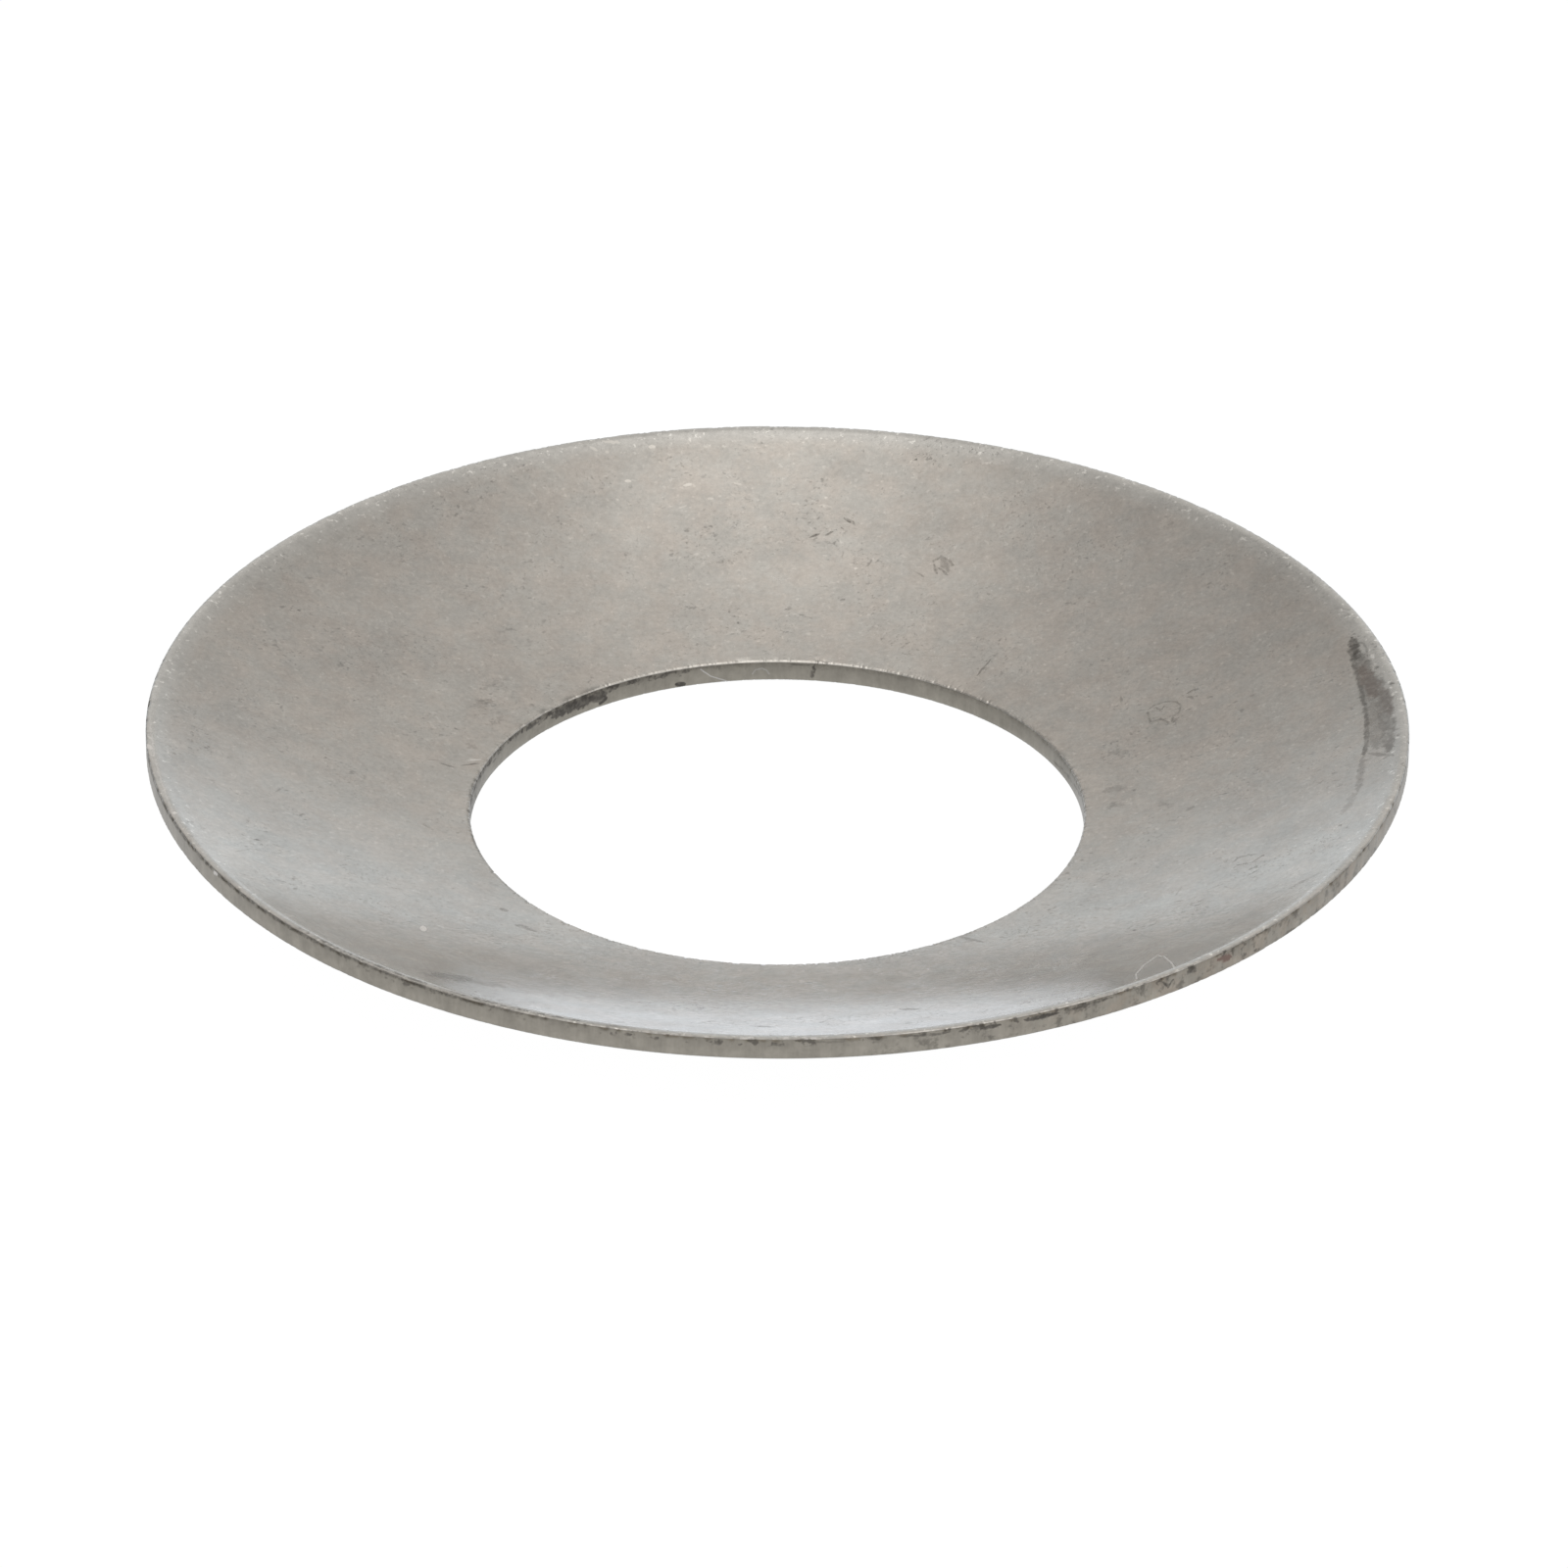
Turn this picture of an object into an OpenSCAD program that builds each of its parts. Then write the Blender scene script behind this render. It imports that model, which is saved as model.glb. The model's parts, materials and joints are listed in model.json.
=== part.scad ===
// Dished friction washer: one piece of sheet steel, pressed to a spherical dish
// and then blanked and pierced along its axis, so that rim and bore are true cylinders.
// Blanking has drawn the hollow face down to the rim in a shallow roll.
// Millimetres, +Z up. The hollow side looks up, as the washer comes to rest,
// and the origin is on the axis, level with the lowest edge of the bore.

/* [Washer] */
// Outside diameter of the rim
outer_d = 45; // [30:0.5:70]
// Diameter of the bore
bore_d = 22; // [8:0.5:36]
// Thickness of the sheet, square to its faces
sheet_t = 0.8; // [0.4:0.05:2]
// Spherical radius of the hollow face
dish_r = 53; // [36:0.5:160]

/* [Edges] */
// Radius of the roll that draws the hollow face down to the rim
rim_roll_r = 0.8; // [0.3:0.05:1.2]
// Radius that rounds the corner between the roll and the rim
rim_corner_r = 0.06; // [0.04:0.01:0.12]
// Radius that rounds the edge of the hollow face at the bore
bore_edge_r = 0.12; // [0.04:0.01:0.2]
// Radius that rounds the two edges of the domed face
dome_edge_r = 0.08; // [0.04:0.01:0.2]

/* [Hidden] */
$fn = 128;

steel = [0.64, 0.625, 0.60];
rim_r = outer_d / 2;
bore_r = bore_d / 2;
dome_r = dish_r + sheet_t;

// Angles at which a rounded edge, or the roll, runs into the wall and the face beside it
edge_blend = 14;
roll_blend = 5;

// Heights in the section are measured from the centre of the dish.
// A wall is [radius, side of the metal]: 1 is outside that radius, -1 inside.
bore_wall = [bore_r, 1];
rim_wall = [rim_r, -1];

// A face is an arc in the section: [centre, radius, side of the metal, half of the circle],
// where half is 1 above the centre and -1 below it.
bowl = [[0, 0], dish_r, 1, -1];
dome = [[0, 0], dome_r, -1, -1];

// An edge is [wall, face, radius, distance of its centre from the wall, and from the face].
function edge(wall, face, radius) =
    [wall, face, radius, radius * cos(edge_blend), radius * cos(edge_blend)];

// Height of a face at a radius, or of the line that runs inside the metal at a distance from it
function height(face, x, inside = 0) =
    face[0].y + face[3] * sqrt((face[1] + face[2] * inside) ^ 2 - (x - face[0].x) ^ 2);

// Centre of an edge's round
function edge_centre(edge) =
    let (x = edge[0][0] + edge[0][1] * edge[3])
    [x, height(edge[1], x, edge[4])];

// The roll comes out level, right under the corner that follows it
rim_roll = [rim_wall, bowl, rim_roll_r, rim_corner_r * cos(edge_blend), rim_roll_r * cos(roll_blend)];
rolled_face = [edge_centre(rim_roll), rim_roll_r, -1, 1];

rim_corner = edge(rim_wall, rolled_face, rim_corner_r);
rim_foot = edge(rim_wall, dome, dome_edge_r);
bore_top = edge(bore_wall, bowl, bore_edge_r);
bore_foot = edge(bore_wall, dome, dome_edge_r);

// Height of the dish's centre: the round under the bore stands on Z = 0
dish_centre_z = dome_edge_r - edge_centre(bore_foot).y;

// The sheet between its two spherical faces, from the bore to the rim
module sheet_section() {
    intersection() {
        difference() {
            circle(dome_r);
            circle(dish_r);
        }
        translate([bore_r, -dome_r]) square([rim_r - bore_r, dome_r]);
    }
}

// The sliver of metal outside an edge's round. Its outline leaves the round in the air
// halfway between the round and the metal, so it never runs along a wall or a face.
module edge_sliver(edge) {
    wall = edge[0];
    face = edge[1];
    radius = edge[2];
    centre = edge_centre(edge);
    from_face = centre - face[0];
    in_air = (radius - edge[4]) / 2;
    corner = [wall[0], height(face, wall[0])];
    off_wall = [wall[0] - wall[1] * in_air, centre.y];
    off_face = face[0] + from_face * (face[1] - face[2] * in_air) / norm(from_face);
    difference() {
        polygon([centre, off_wall, 2 * corner - centre, off_face]);
        translate(centre) circle(radius);
    }
}

module friction_washer() {
    color(steel)
        translate([0, 0, dish_centre_z])
            rotate_extrude()
                difference() {
                    sheet_section();
                    for (edge = [rim_roll, rim_corner, rim_foot, bore_top, bore_foot])
                        edge_sliver(edge);
                }
}

friction_washer();
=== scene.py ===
"""Dished friction washer of sheet steel, dressed for a studio picture.

The washer is one closed surface of revolution whose blanked edges are a little uneven.
Its steel is one procedural finish, and each mark on it lies where the picture shows it, on the metal itself.
Meshes are in metres; the finish works in millimetres.
"""
import json
import logging
import math
from dataclasses import dataclass, field, replace
from enum import Enum
from itertools import product
from typing import Any, Iterable, Mapping, Sequence, Union

import bpy
import numpy as np
from mathutils import Matrix, Vector


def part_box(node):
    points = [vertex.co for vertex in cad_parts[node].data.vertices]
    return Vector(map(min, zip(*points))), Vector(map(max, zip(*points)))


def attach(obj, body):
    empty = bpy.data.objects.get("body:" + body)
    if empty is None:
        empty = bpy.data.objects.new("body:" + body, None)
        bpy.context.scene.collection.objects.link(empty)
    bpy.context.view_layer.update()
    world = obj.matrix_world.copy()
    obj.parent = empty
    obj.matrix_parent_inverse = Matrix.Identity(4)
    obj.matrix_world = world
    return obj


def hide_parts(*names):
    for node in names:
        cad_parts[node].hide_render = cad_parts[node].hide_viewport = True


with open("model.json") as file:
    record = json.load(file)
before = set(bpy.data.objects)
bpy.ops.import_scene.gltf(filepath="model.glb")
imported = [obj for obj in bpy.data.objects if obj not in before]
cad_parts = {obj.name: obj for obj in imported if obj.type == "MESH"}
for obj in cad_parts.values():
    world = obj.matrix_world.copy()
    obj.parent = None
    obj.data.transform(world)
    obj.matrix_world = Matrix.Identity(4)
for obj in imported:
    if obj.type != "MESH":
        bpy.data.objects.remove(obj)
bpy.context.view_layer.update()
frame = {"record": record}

LOG = logging.getLogger("friction_washer")
MM = 0.001
NODE_NAME = "friction_washer"
BODY_NAME = "root"
OUTWARD = "outward"

Colour = tuple[float, float, float]
Point = tuple[float, float, float]
Pixel = tuple[float, float]
Span = tuple[float, float]
Term = Union["Signal", float]


class Rays(Enum):
    """Kinds of ray that see the white floor as it is, and not by its lighting."""

    CAMERA = "Is Camera Ray"
    GLOSSY = "Is Glossy Ray"
    TRANSMISSION = "Is Transmission Ray"


class Zone(Enum):
    """Parts of the washer's section, in the order in which the section is walked."""

    BOWL = "hollow face"
    ROLL = "roll of the hollow face at the rim"
    RIM_CORNER = "corner between the roll and the rim"
    RIM_WALL = "blanked wall of the rim"
    RIM_FOOT = "edge of the domed face at the rim"
    DOME = "domed face"
    BORE_FOOT = "edge of the domed face at the bore"
    BORE_WALL = "pierced wall of the bore"
    BORE_TOP = "edge of the hollow face at the bore"


class Tone(Enum):
    """What a mark does to the steel."""

    DARK = "grime or a pit"
    BRIGHT = "bare bright metal"
    PALE = "lint"
    RUST = "brown rust"


class Sector(Enum):
    """Stretches of the washer round its axis, in degrees from +X, counter-clockwise.

    Each has a span of turns at its first end and one at its last: from where it is 0 to where it is full.
    """

    DIRTY_WALL = ((-95.0, -70.0), (5.0, -15.0))
    TARNISHED_WALL = ((-75.0, -55.0), (-5.0, -25.0))
    # Dark burred lip of the rim with painted shade under it
    BURR_UNDER_RIM = ((162.0, 178.0), (-104.0, -122.0))
    DIRT_UNDER_RIM = ((-140.0, -120.0), (-30.0, -50.0))
    # Painted shade inside the rim's burred lip
    LINE_INSIDE_RIM = ((-142.0, -134.0), (-98.0, -108.0))
    # Painted dark reflection on the rim's edge at the very front
    DARK_FRONT = ((-104.0, -96.0), (-76.0, -84.0))
    BURR_UNDER_BORE = ((92.0, 116.0), (-150.0, -172.0))
    BURR_ON_BORE = ((160.0, 172.0), (-138.0, -152.0))
    # Lips brighter here and in the next two sectors: partly bare metal and partly painted highlights
    BARE_FRONT_LEFT = ((-134.0, -126.0), (-104.0, -112.0))
    BARE_FRONT_RIGHT = ((-84.0, -76.0), (-44.0, -52.0))
    BARE_BORE = ((54.0, 72.0), (140.0, 122.0))
    SPARKS = ((-128.0, -116.0), (-60.0, -76.0))


@dataclass(frozen=True)
class Grain:
    """Smooth noise: waves per millimetre, octaves, what each keeps of the last, and how far it sways."""

    scale: float
    detail: float
    keep: float
    sway: float = 1.0


@dataclass(frozen=True)
class Patches:
    """The crests of a grain, from the level where they start to the one where they reach their top."""

    grain: Grain
    start: float
    end: float
    top: float = 1.0


@dataclass(frozen=True)
class Lay:
    """How a pattern lies: its shift in millimetres, its turn in degrees and its stretch each way."""

    shift: Point
    turn: float
    size: Point


def off(edge: float, band: Span) -> Span:
    """A band of distances from an edge as a span of places."""
    return edge + band[0], edge + band[1]


class Signal:
    """One output of a shader node. Arithmetic on it adds Math nodes to the same sheet."""

    def __init__(self, sheet: "NodeSheet", socket: bpy.types.NodeSocket) -> None:
        """Wraps a socket of a node on the sheet."""
        self.sheet = sheet
        self.socket = socket

    def _math(self, operation: str, *terms: Term) -> "Signal":
        """Adds one Math node on the terms."""
        return self.sheet.node("ShaderNodeMath", {"operation": operation}, dict(enumerate(terms)))

    def __add__(self, other: Term) -> "Signal":
        """This plus another value."""
        return self._math("ADD", self, other)

    def __radd__(self, other: Term) -> "Signal":
        """Another value plus this."""
        return self._math("ADD", other, self)

    def __sub__(self, other: Term) -> "Signal":
        """This less another value."""
        return self._math("SUBTRACT", self, other)

    def __rsub__(self, other: Term) -> "Signal":
        """Another value less this."""
        return self._math("SUBTRACT", other, self)

    def __mul__(self, other: Term) -> "Signal":
        """This times another value."""
        return self._math("MULTIPLY", self, other)

    def __rmul__(self, other: Term) -> "Signal":
        """Another value times this."""
        return self._math("MULTIPLY", other, self)

    def __abs__(self) -> "Signal":
        """This without its sign."""
        return self._math("ABSOLUTE", self)

    def at_least(self, floor: Term) -> "Signal":
        """The larger of this and another value."""
        return self._math("MAXIMUM", self, floor)

    def at_most(self, ceiling: Term) -> "Signal":
        """The smaller of this and another value."""
        return self._math("MINIMUM", self, ceiling)

    def turn_from(self, across: "Signal") -> "Signal":
        """Angle, in radians, of the direction with this as its Y and another signal as its X."""
        return self._math("ARCTAN2", self, across)

    def ramp(self, start: float, end: float, top: float = 1.0) -> "Signal":
        """A smooth step from 0 at start to top at end, flat outside them; start may be the larger.

        Args:
            start: Value at which the step leaves 0.
            end: Value at which the step reaches its top.
            top: Height of the step.

        Returns:
            The step.
        """
        settings = {"interpolation_type": "SMOOTHSTEP", "clamp": True}
        low, high, at_low, at_high = (start, end, 0.0, top) if start < end else (end, start, top, 0.0)
        inputs = {"Value": self, "From Min": low, "From Max": high, "To Min": at_low, "To Max": at_high}
        return self.sheet.node("ShaderNodeMapRange", settings, inputs)

    def lift(self, base: float, gain: float) -> "Signal":
        """A base plus this times a gain."""
        return base + self * gain

    def other(self, output: str) -> "Signal":
        """Another output of the same node."""
        return Signal(self.sheet, self.socket.node.outputs[output])


class NodeSheet:
    """A node tree that is filled by expressions."""

    def __init__(self, tree: bpy.types.NodeTree) -> None:
        """Empties the tree.

        Args:
            tree: The material's or the world's tree.
        """
        tree.nodes.clear()
        self.tree = tree

    def node(
        self,
        kind: str,
        settings: Mapping[str, Any] | None = None,
        inputs: Mapping[Union[str, int], Any] | None = None,
        output: Union[str, int] = 0,
    ) -> Signal:
        """Adds a node.

        Args:
            kind: The node's type, such as ShaderNodeMath.
            settings: Its own settings, set before its sockets; "stops" fills a colour ramp.
            inputs: Values or signals by socket name or number.
            output: The socket that is handed back.

        Returns:
            The chosen output, or the first input of a node that has no output.
        """
        made = self.tree.nodes.new(kind)
        for name, value in (settings or {}).items():
            if name == "stops":
                self._fill_ramp(made.color_ramp, value)
            else:
                setattr(made, name, value)
        for key, value in (inputs or {}).items():
            socket = made.inputs[key]
            if isinstance(value, Signal):
                self.tree.links.new(value.socket, socket)
            else:
                socket.default_value = value
        return Signal(self, made.outputs[output]) if len(made.outputs) else Signal(self, made.inputs[0])

    @staticmethod
    def _fill_ramp(ramp: bpy.types.ColorRamp, stops: Sequence[tuple[float, Colour]]) -> None:
        """Sets a colour ramp's stops, each a position and a colour."""
        while len(ramp.elements) < len(stops):
            ramp.elements.new(1.0)
        for element, (position, colour) in zip(ramp.elements, stops):
            element.position = position
            element.color = (*colour, 1.0)

    def vector(self, operation: str, *terms: Any, output: Union[str, int] = 0) -> Signal:
        """Adds one Vector Math node on the terms."""
        return self.node("ShaderNodeVectorMath", {"operation": operation}, dict(enumerate(terms)), output)

    def scaled(self, vector: Any, factor: Term) -> Signal:
        """A vector or colour times a number."""
        return self.node("ShaderNodeVectorMath", {"operation": "SCALE"}, {0: vector, "Scale": factor})

    def length(self, vector: Signal) -> Signal:
        """Length of a vector."""
        return self.vector("LENGTH", vector, output="Value")

    def parts(self, vector: Signal) -> tuple[Signal, Signal, Signal]:
        """The three parts of a vector."""
        first = self.node("ShaderNodeSeparateXYZ", {}, {0: vector})
        return first, first.other("Y"), first.other("Z")

    def blend(self, factor: Term, first: Any, second: Any, mode: str = "MIX") -> Signal:
        """Mixes two colours.

        Args:
            factor: Share of the second colour.
            first: A colour or a signal.
            second: A colour or a signal.
            mode: How the two are mixed.

        Returns:
            The mixed colour.
        """
        as_rgba = [(*c, 1.0) if isinstance(c, tuple) else c for c in (first, second)]
        settings = {"data_type": "RGBA", "blend_type": mode, "clamp_factor": True}
        return self.node("ShaderNodeMix", settings, {0: factor, 6: as_rgba[0], 7: as_rgba[1]}, 2)

    def noise(self, where: Signal, grain: Grain, output: Union[str, int] = 0) -> Signal:
        """Smooth noise about 0.5."""
        inputs = {"Vector": where, "Scale": grain.scale, "Detail": grain.detail, "Roughness": grain.keep}
        return self.node("ShaderNodeTexNoise", {"noise_dimensions": "3D"}, inputs, output)

    def swayed(self, where: Signal, grain: Grain) -> Signal:
        """Smooth noise about 0, times its sway."""
        return (self.noise(where, grain) - 0.5) * grain.sway

    def patches(self, where: Signal, patches: Patches) -> Signal:
        """Strength of uneven patches."""
        return self.noise(where, patches.grain).ramp(patches.start, patches.end, patches.top)

    def laid(self, where: Signal, lay: Lay) -> Signal:
        """Coordinates that lie in a direction."""
        turn = (0.0, 0.0, math.radians(lay.turn))
        inputs = {"Vector": where, "Location": lay.shift, "Rotation": turn, "Scale": lay.size}
        return self.node("ShaderNodeMapping", {"vector_type": "TEXTURE"}, inputs)

    def gap(self, where: Signal, to: Any) -> Signal:
        """Distance to a point."""
        return self.vector("DISTANCE", where, to, output="Value")

    def line_gap(self, where: Signal, start: np.ndarray, end: np.ndarray) -> Signal:
        """Distance to a straight line between two points.

        The nearest point lies at the share of the line that the dot product gives, kept between 0 and 1.

        Args:
            where: The coordinates.
            start: First end of the line.
            end: Last end of the line.

        Returns:
            The distance.
        """
        run = end - start
        ahead = self.vector("SUBTRACT", where, tuple(start))
        share = self.vector("DOT_PRODUCT", ahead, tuple(run / (run @ run)), output="Value")
        return self.gap(ahead, self.scaled(tuple(run), self.node("ShaderNodeClamp", {}, {"Value": share})))

@dataclass(frozen=True)
class PhotoCamera:
    """Where the picture is taken from, and where on the washer one of its pixels lies."""

    distance: float = 400 * MM
    elevation: float = math.radians(29.3238)
    focal_px: float = 11412.9
    frame_px: float = 1600.0
    sensor_mm: float = 36.0
    roll: float = math.radians(0.2737)
    stand_z: float = 2 * MM
    nearest: float = 1 * MM
    aim: Point = (0.24 * MM, 0.0, 1.829 * MM)

    def pose(self) -> Matrix:
        """Place and turn of the camera: at its distance and elevation, turned to its aim, then rolled."""
        level, rise = self.distance * math.cos(self.elevation), self.distance * math.sin(self.elevation)
        stand = Vector((0.0, -level, self.stand_z + rise))
        turn = (Vector(self.aim) - stand).to_track_quat("-Z", "Y").to_matrix().to_4x4()
        return Matrix.Translation(stand) @ turn @ Matrix.Rotation(self.roll, 4, "Z")

    def build(self) -> bpy.types.Object:
        """Makes the camera.

        Returns:
            The camera, set as the scene's own.
        """
        data = bpy.data.cameras.new("photo_camera")
        data.sensor_width = self.sensor_mm
        data.lens = self.focal_px * self.sensor_mm / self.frame_px
        data.clip_start = self.nearest
        made = bpy.data.objects.new("photo_camera", data)
        made.matrix_world = self.pose()
        bpy.context.collection.objects.link(made)
        bpy.context.scene.camera = made
        return made

    def sight(self, pixel: Pixel) -> tuple[np.ndarray, np.ndarray]:
        """The line of sight through a pixel.

        Args:
            pixel: Place in the picture, from its upper left corner.

        Returns:
            The camera's place and the unit vector along the line.
        """
        pose = np.array(self.pose())
        right, up = pixel[0] - self.frame_px / 2, self.frame_px / 2 - pixel[1]
        ahead = pose[:3, :3] @ np.array([right / self.focal_px, up / self.focal_px, -1.0])
        return pose[:3, 3], ahead / np.linalg.norm(ahead)

    def hit(self, pixel: Pixel, centre_z: float, radius: float, flat: bool, far: bool) -> np.ndarray:
        """Point where the line of sight meets a sphere or an upright cylinder about the axis.

        The distance solves a quadratic: the squared length of place plus distance times direction equals
        the squared radius, where a cylinder leaves the heights out.

        Args:
            pixel: Place in the picture.
            centre_z: Height of the sphere's centre.
            radius: Radius of the sphere or the cylinder.
            flat: True for a cylinder.
            far: True for the second of the two crossings.

        Returns:
            The point, in metres.
        """
        stand, ahead = self.sight(pixel)
        kept = np.array([1.0, 1.0, 0.0 if flat else 1.0])
        start, along = (stand - np.array([0.0, 0.0, centre_z])) * kept, ahead * kept
        a, b, c = along @ along, start @ along, start @ start - radius**2
        root = math.sqrt(max(b * b - a * c, 0.0))
        return stand + ahead * ((-b + root if far else -b - root) / a)


@dataclass(frozen=True)
class Section:
    """Points round the washer's section, from the bore over the hollow face to the rim and back below.

    Radii and heights are in metres, the normals point out of the metal, and each point knows its zone.
    """

    radius: np.ndarray
    height: np.ndarray
    normal_radius: np.ndarray
    normal_height: np.ndarray
    zone: np.ndarray

    def share(self, *zones: Zone) -> np.ndarray:
        """1 at the points of the zones and 0 elsewhere."""
        return np.isin(self.zone, [zone.name for zone in zones]).astype(float)


@dataclass(frozen=True)
class EdgeWear:
    """Unevenness of an edge, left by the blanking tool and by tumbling."""

    zones: tuple[Zone, ...]
    depth: float
    seed: int
    first_wave: int = 40
    last_wave: int = 780
    fall: float = 0.35

    def depths(self, angle: np.ndarray) -> np.ndarray:
        """Depth by angle: cosine waves of random phase, each weaker by its number to the power of fall.

        What comes out below 0 is cut off.

        Args:
            angle: Angles round the axis, in radians.

        Returns:
            Depths in metres, about 0.4 times depth on average.
        """
        chance = np.random.default_rng(self.seed)
        wave = np.arange(self.first_wave, self.last_wave)
        phase = chance.uniform(0.0, 2 * math.pi, len(wave))
        curve = np.cos(np.outer(angle, wave) + phase) @ (wave**-self.fall)
        return self.depth * np.maximum(curve / curve.std(), 0.0)


@dataclass(frozen=True)
class Nick:
    """A dent in an edge; angles are in degrees from +X, counter-clockwise."""

    zones: tuple[Zone, ...]
    angle: float
    half_width: float
    depth: float

    def depths(self, angle: np.ndarray) -> np.ndarray:
        """Depth by angle: a bell curve about the dent's own angle."""
        gap = np.angle(np.exp(1j * (angle - math.radians(self.angle))))
        return self.depth * np.exp(-0.5 * (gap / math.radians(self.half_width)) ** 2)


WALLS = (Zone.RIM_WALL, Zone.BORE_WALL)
RIM_EDGE = (Zone.RIM_CORNER,)
BORE_EDGE = (Zone.BORE_TOP,)


@dataclass
class PressedWasher:
    """The washer itself: sheet steel pressed to a sphere, then blanked and pierced along its axis."""

    rim_r: float
    bore_r: float
    sheet_t: float = 0.8 * MM
    dish_r: float = 53 * MM
    rim_roll_r: float = 0.8 * MM
    rim_corner_r: float = 0.06 * MM
    bore_edge_r: float = 0.12 * MM
    dome_edge_r: float = 0.08 * MM
    edge_blend: float = math.radians(14)
    roll_blend: float = math.radians(5)
    steps_round: int = 1840
    bowl_steps: int = 13
    roll_steps: int = 6
    edge_steps: int = 5
    foot_steps: int = 4
    wall_steps: int = 4
    dome_steps: int = 9
    wear: Sequence[Union[EdgeWear, Nick]] = (
        EdgeWear(RIM_EDGE, 0.014 * MM, seed=3),
        EdgeWear(BORE_EDGE, 0.012 * MM, seed=5),
        EdgeWear((Zone.RIM_FOOT, Zone.BORE_FOOT), 0.006 * MM, seed=8),
        Nick(RIM_EDGE, 88.0, 0.5, 0.05 * MM),
        Nick(RIM_EDGE, 178.0, 0.35, 0.05 * MM),
        Nick(BORE_EDGE, 128.0, 1.6, 0.04 * MM),
        Nick(BORE_EDGE, 133.0, 0.9, 0.035 * MM),
        Nick(BORE_EDGE, 140.0, 0.7, 0.03 * MM),
        Nick(BORE_EDGE, 97.0, 0.8, 0.025 * MM),
    )

    @property
    def dome_r(self) -> float:
        """Spherical radius of the domed face."""
        return self.dish_r + self.sheet_t

    def edge_centre(
        self, wall_r: float, wall_side: int, face_r: float, face_side: int, edge_r: float
    ) -> np.ndarray:
        """Centre of an edge's round, measured from the centre of the dish.

        The centre stands off the wall and off the face by the edge radius times the cosine of edge_blend,
        so the round crosses both at that angle, as it does on the solid.

        Args:
            wall_r: Radius of the rim or of the bore.
            wall_side: 1 where the metal lies outside that radius, -1 inside.
            face_r: Spherical radius of the face.
            face_side: 1 where the metal lies outside that sphere, -1 inside.
            edge_r: Radius of the round.

        Returns:
            Radius and height of the centre.
        """
        inset = edge_r * math.cos(self.edge_blend)
        radius = wall_r + wall_side * inset
        return np.array([radius, -math.sqrt((face_r + face_side * inset) ** 2 - radius**2)])

    @property
    def dish_centre_z(self) -> float:
        """Height of the dish's centre when the lowest edge of the bore stands at 0."""
        foot = self.edge_centre(self.bore_r, 1, self.dome_r, -1, self.dome_edge_r)
        return self.dome_edge_r - foot[1]

    @property
    def roll_centre(self) -> np.ndarray:
        """Centre of the roll, from the dish's centre: right under the corner's centre, just off the bowl."""
        radius = self.rim_r - self.rim_corner_r * math.cos(self.edge_blend)
        reach = self.dish_r + self.rim_roll_r * math.cos(self.roll_blend)
        return np.array([radius, -math.sqrt(reach**2 - radius**2)])

    @property
    def corner_centre(self) -> np.ndarray:
        """Centre of the rim's corner, from the dish's centre: right above the roll's centre."""
        inset = self.rim_corner_r * math.cos(self.edge_blend)
        return self.roll_centre + np.array([0.0, self.rim_roll_r - inset])

    @property
    def rim_wall_top(self) -> float:
        """Height at which the rim's wall ends and its corner starts."""
        return self.dish_centre_z + self.corner_centre[1] + self.rim_corner_r * math.sin(self.edge_blend)

    @property
    def bore_face_z(self) -> float:
        """Height at which the hollow face would meet the bore's wall, but for the round of that edge."""
        return self.dish_centre_z - math.sqrt(self.dish_r**2 - self.bore_r**2)

    def section(self) -> Section:
        """Walks once round the section.

        The faces are arcs about the dish's centre, the roll and the edges are arcs about their own centres,
        and the walls are straight. Face points lie closer together towards their ends, by a cosine,
        so that the edges stay crisp under smooth shading.

        Returns:
            The points, their outward normals and their zones.
        """
        blend, half_turn, origin = self.edge_blend, math.pi, np.zeros(2)
        edge_steps, foot_steps = self.edge_steps, self.foot_steps
        points, normals, zones = [], [], []

        def tilt(centre: np.ndarray) -> float:
            """Angle of a point as seen from the dish's centre."""
            return math.atan2(centre[1], centre[0])

        def keep(zone: Zone, path: np.ndarray, out: np.ndarray) -> None:
            """Adds a run of points."""
            points.append(path)
            normals.append(out)
            zones.append(np.full(len(path), zone.name))

        def arc(
            zone: Zone, centre: np.ndarray, size: float, start: float, end: float, steps: int, out: int
        ) -> None:
            """Adds an arc without its last point; angles grow from +radius towards +height."""
            share = np.linspace(0.0, 1.0, steps, endpoint=False)
            if zone in (Zone.BOWL, Zone.DOME):
                share = (1.0 - np.cos(half_turn * share)) / 2
            angle = start + (end - start) * share
            spoke = np.stack([np.cos(angle), np.sin(angle)], 1)
            keep(zone, centre + size * spoke, out * spoke)

        def wall(zone: Zone, radius: float, start: float, end: float, facing: int) -> None:
            """Adds a straight wall without its last point."""
            height = np.linspace(start, end, self.wall_steps, endpoint=False)
            path = np.stack([np.full_like(height, radius), height], 1)
            keep(zone, path, np.tile([float(facing), 0.0], (len(height), 1)))

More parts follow.
